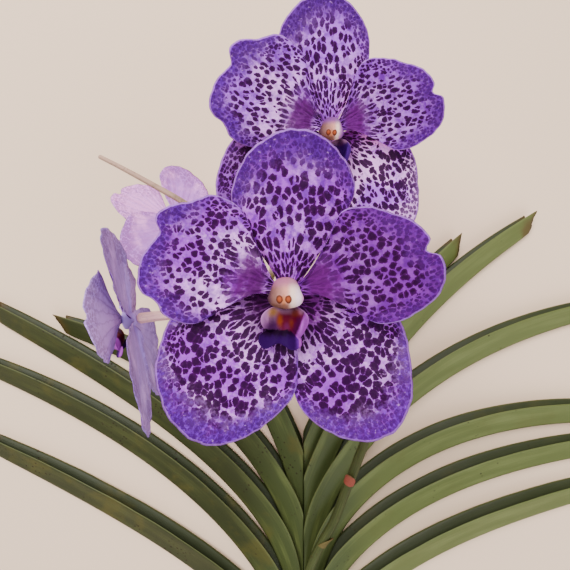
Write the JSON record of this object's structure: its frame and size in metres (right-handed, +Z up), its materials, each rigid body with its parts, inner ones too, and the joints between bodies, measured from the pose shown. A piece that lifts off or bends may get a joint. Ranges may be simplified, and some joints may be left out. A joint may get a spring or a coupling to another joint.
{
  "type": "vanda orchid plant",
  "caption": "Blooming vanda orchid lifted bare-root and laid down: a fan of folded strap leaves, a curved flower spike and flat, spotted violet blooms.",
  "frame": {"origin": "middle of the flat spot under the stem, on the surface that the plant lies on", "axes": "+Y along the stem towards the leaves and blooms, +X to the right of the leaf fan, +Z up from the surface, towards the face of the largest bloom"},
  "size_m": [0.4742, 0.5082, 0.1716],
  "materials": {
    "leaf": "satin",
    "stem": "matte",
    "spike": "satin",
    "root": "matte",
    "tepals": "satin",
    "column": "satin",
    "lip": "satin",
    "pedicel": "satin"
  },
  "bodies": {
    "root": {"stem": "stem", "flower_spike": "spike", "leaf_left_1": "leaf", "leaf_left_2": "leaf", "leaf_left_3": "leaf", "leaf_left_4": "leaf", "leaf_left_5": "leaf", "leaf_right_1": "leaf", "leaf_right_2": "leaf", "leaf_right_3": "leaf", "leaf_right_4": "leaf", "leaf_right_5": "leaf", "leaf_right_6": "leaf", "root_1": "root", "root_2": "root", "root_3": "root", "root_4": "root", "bloom_a_tepals": "tepals", "bloom_a_column": "column", "bloom_a_lip": "lip", "pedicel_a": "pedicel", "bloom_b_tepals": "tepals", "bloom_b_column": "column", "bloom_b_lip": "lip", "pedicel_b": "pedicel", "bloom_c_tepals": "tepals", "bloom_c_column": "column", "bloom_c_lip": "lip", "pedicel_c": "pedicel", "bloom_d_tepals": "tepals", "bloom_d_column": "column", "bloom_d_lip": "lip", "pedicel_d": "pedicel"}
  },
  "joints": []
}
